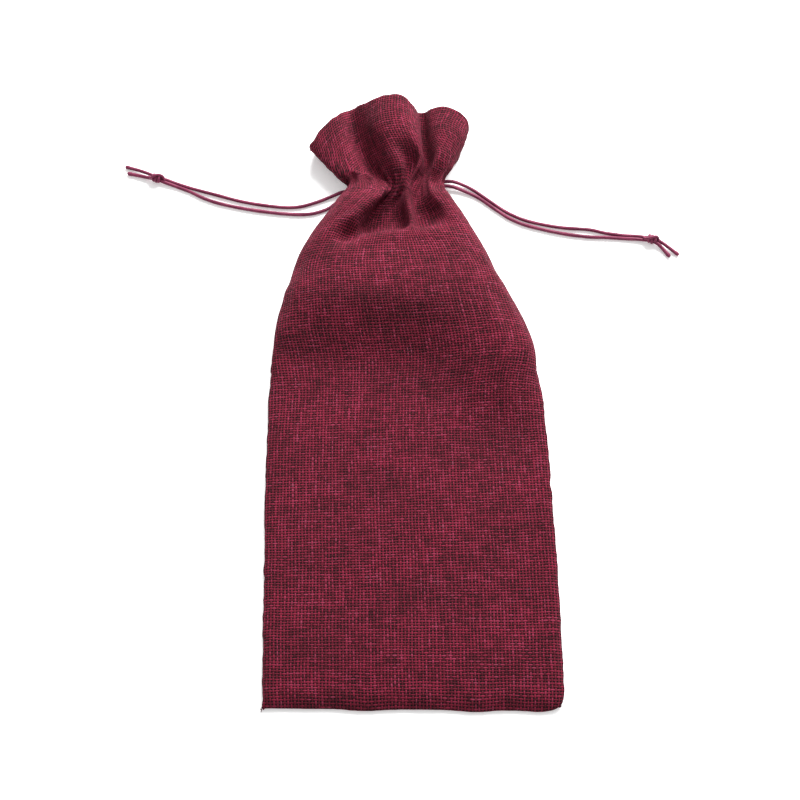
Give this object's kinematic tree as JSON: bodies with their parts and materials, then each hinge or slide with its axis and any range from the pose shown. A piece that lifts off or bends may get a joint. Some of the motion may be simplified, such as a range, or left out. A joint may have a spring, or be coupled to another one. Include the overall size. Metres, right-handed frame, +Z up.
{
  "type": "drawstring wine gift bag",
  "caption": "Slim coarse-weave cloth bag for a wine bottle, lying flat, its mouth gathered shut by drawcords that run in a stitched casing and end in tied, knotted tails.",
  "frame": {"origin": "under the middle of the cloth bag, on the surface that it lies on", "axes": "+X across the bag to its right side, +Y along the bag from the bottom seam to the mouth, +Z up through the front panel"},
  "size_m": [0.317, 0.348, 0.026],
  "materials": {
    "cloth": "coarse plain weave, matt",
    "facing": "coarse plain weave, matt, the inside of the hem",
    "thread": "spun polyester sewing thread",
    "cord": "soft round braided cord, slight sheen"
  },
  "bodies": {
    "bag": {"front_panel": "cloth", "back_panel": "cloth", "front_casing": "cloth", "back_casing": "cloth", "front_casing_lining": "facing", "back_casing_lining": "facing", "front_ruffle": "cloth", "back_ruffle": "cloth", "left_seam_allowance": "cloth", "right_seam_allowance": "cloth", "bottom_seam_allowance": "cloth", "left_seam_overlock": "thread", "right_seam_overlock": "thread", "bottom_seam_overlock": "thread", "lower_casing_stitch_front": "thread", "lower_casing_stitch_back": "thread", "upper_casing_stitch_front": "thread", "upper_casing_stitch_back": "thread", "left_cord_loop": "cord", "right_cord_loop": "cord"},
    "left_drawcord": {"left_cord_front_tail": "cord", "left_cord_back_tail": "cord", "left_knot": "cord"},
    "right_drawcord": {"right_cord_front_tail": "cord", "right_cord_back_tail": "cord", "right_knot": "cord"}
  },
  "joints": [
    {"name": "left_drawcord_pull", "type": "slide", "parent": "bag", "child": "left_drawcord", "axis": [-1, 0, 0], "range_m": [0, 0.015]},
    {"name": "right_drawcord_pull", "type": "slide", "parent": "bag", "child": "right_drawcord", "axis": [1, 0, 0], "range_m": [0, 0.015]}
  ]
}
